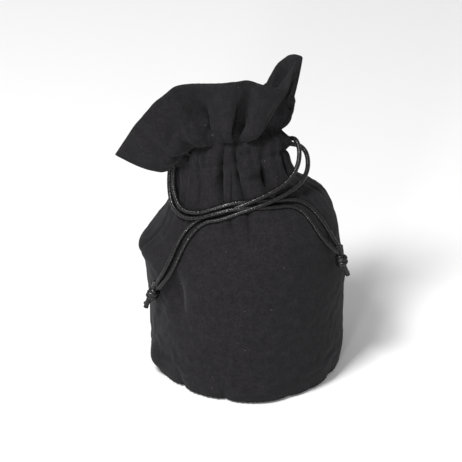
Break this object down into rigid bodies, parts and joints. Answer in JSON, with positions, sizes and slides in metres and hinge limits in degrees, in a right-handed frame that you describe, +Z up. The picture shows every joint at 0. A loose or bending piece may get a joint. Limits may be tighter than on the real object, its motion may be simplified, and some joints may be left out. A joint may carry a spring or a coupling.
{
  "type": "drawstring dice bag",
  "caption": "Small round-based cloth bag with a gathered neck, a stitched casing, a loose heading and two satin drawstrings whose ends are knotted in pairs.",
  "frame": {"origin": "centre of the round base, on the surface that the bag stands on", "axes": "+Z up, +X to the bag's right seen from its front, +Y to its back"},
  "size_m": [0.1395, 0.1176, 0.1981],
  "materials": {
    "cloth": "matte brushed black cotton",
    "thread": "black sewing thread",
    "satin_cord": "glossy black satin rattail cord with a fine diagonal rib"
  },
  "bodies": {
    "bag": {"front_panel": "cloth", "back_panel": "cloth", "base_panel": "cloth", "upper_casing_stitch": "thread", "lower_casing_stitch": "thread", "base_seam_stitch": "thread", "right_side_seam_stitch": "thread", "left_side_seam_stitch": "thread", "right_drawstring_run": "satin_cord", "left_drawstring_run": "satin_cord", "right_front_strand": "satin_cord", "right_back_strand": "satin_cord", "left_back_strand": "satin_cord", "left_front_strand": "satin_cord"},
    "left_tie": {"left_tie_upper_end": "satin_cord", "left_tie_lower_end": "satin_cord", "left_knot": "satin_cord"},
    "right_tie": {"right_tie_upper_end": "satin_cord", "right_tie_lower_end": "satin_cord", "right_knot": "satin_cord"}
  },
  "joints": [
    {"name": "left_tie_lift", "type": "hinge", "parent": "bag", "child": "left_tie", "pos_m": [-0.0264, -0.0293, 0.1101], "axis": [-0.65, 0.76, 0], "range_deg": [0, 70]},
    {"name": "right_tie_lift", "type": "hinge", "parent": "bag", "child": "right_tie", "pos_m": [0.0273, -0.0199, 0.1184], "axis": [-0.4311, -0.9023, 0], "range_deg": [0, 70]}
  ]
}
